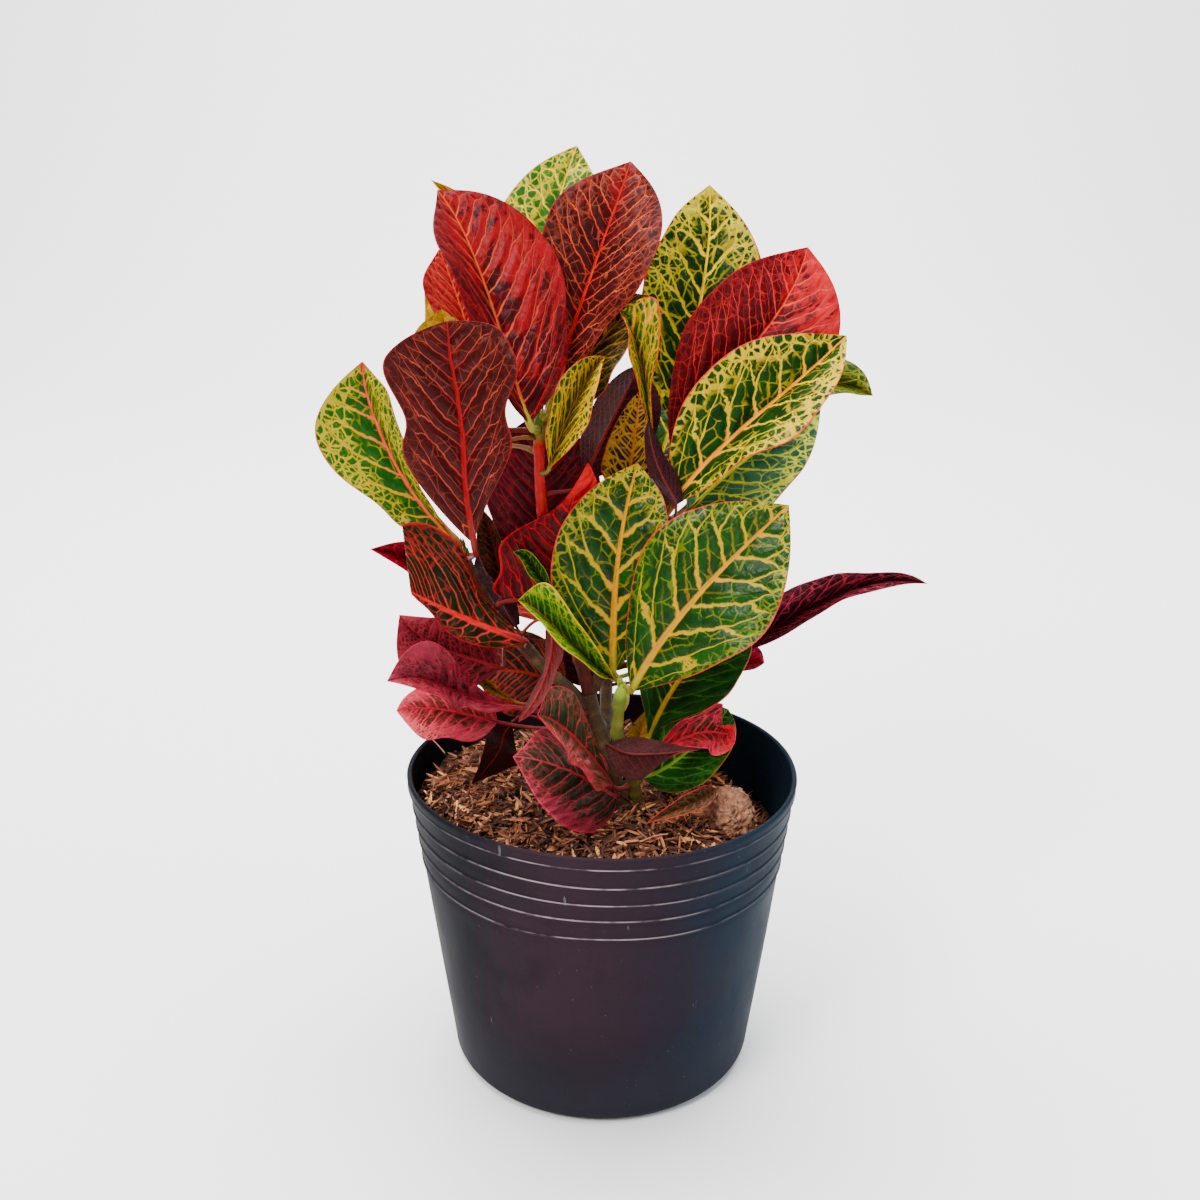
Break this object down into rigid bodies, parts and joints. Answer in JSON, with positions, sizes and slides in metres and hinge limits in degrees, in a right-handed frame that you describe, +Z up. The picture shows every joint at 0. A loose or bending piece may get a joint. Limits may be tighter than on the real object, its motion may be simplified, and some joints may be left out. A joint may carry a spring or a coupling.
{
  "type": "potted plant",
  "caption": "Croton houseplant with broad glossy red, maroon, green and yellow veined leaves on upright stems, in a round tapered nursery pot of husk soil.",
  "frame": {"origin": "centre of the flat underside of the pot, on the surface it stands on", "axes": "+Z up along the pot and the plant, +Y away from the side that the widest leaves face, +X to the right when seen from that side"},
  "size_m": [0.3018, 0.2347, 0.4632],
  "materials": {
    "leaf_scarlet": "glossy leathery leaf, bright red",
    "leaf_maroon": "glossy leathery leaf, dark maroon with salmon veins",
    "leaf_greenyellow": "glossy leathery leaf, green with yellow veins and edges",
    "leaf_green": "glossy leathery leaf, dark green with yellow veins",
    "leaf_pinkred": "glossy leathery leaf, pink-red with dark green",
    "leaf_purple": "glossy leathery leaf, purple-brown",
    "pot": "satin black moulded plastic",
    "stem_main": "woody lower stems, red and brown upper stems",
    "stem_front": "green young stem with an orange tinge",
    "stone": "rough pinkish brown lump",
    "soil": "loose husk and fibre mix"
  },
  "bodies": {
    "root": {"pot": "pot", "soil": "soil", "stone": "stone", "stem_main": "stem_main", "stem_front": "stem_front", "leaf_01": "leaf_maroon", "leaf_02": "leaf_greenyellow", "leaf_03": "leaf_greenyellow", "leaf_04": "leaf_scarlet", "leaf_05": "leaf_greenyellow", "leaf_06": "leaf_scarlet", "leaf_07": "leaf_greenyellow", "leaf_08": "leaf_scarlet", "leaf_09": "leaf_greenyellow", "leaf_10": "leaf_scarlet", "leaf_11": "leaf_greenyellow", "leaf_12": "leaf_greenyellow", "leaf_13": "leaf_greenyellow", "leaf_14": "leaf_maroon", "leaf_15": "leaf_greenyellow", "leaf_16": "leaf_greenyellow", "leaf_17": "leaf_maroon", "leaf_18": "leaf_green", "leaf_19": "leaf_purple", "leaf_20": "leaf_greenyellow", "leaf_21": "leaf_greenyellow", "leaf_22": "leaf_purple", "leaf_23": "leaf_greenyellow", "leaf_24": "leaf_maroon", "leaf_25": "leaf_maroon", "leaf_26": "leaf_green", "leaf_27": "leaf_maroon", "leaf_28": "leaf_purple", "leaf_29": "leaf_pinkred", "leaf_30": "leaf_green", "leaf_31": "leaf_green", "leaf_32": "leaf_green", "leaf_33": "leaf_pinkred", "leaf_34": "leaf_purple", "leaf_35": "leaf_green", "leaf_36": "leaf_purple", "leaf_37": "leaf_scarlet", "leaf_38": "leaf_pinkred", "leaf_39": "leaf_pinkred", "leaf_40": "leaf_pinkred", "leaf_41": "leaf_green", "leaf_42": "leaf_pinkred", "leaf_43": "leaf_pinkred", "leaf_44": "leaf_greenyellow", "leaf_45": "leaf_pinkred", "leaf_46": "leaf_green", "leaf_47": "leaf_pinkred", "leaf_48": "leaf_pinkred", "leaf_49": "leaf_purple", "leaf_50": "leaf_greenyellow", "leaf_51": "leaf_maroon", "leaf_52": "leaf_green", "leaf_53": "leaf_pinkred", "leaf_54": "leaf_pinkred", "leaf_55": "leaf_purple"}
  },
  "joints": []
}
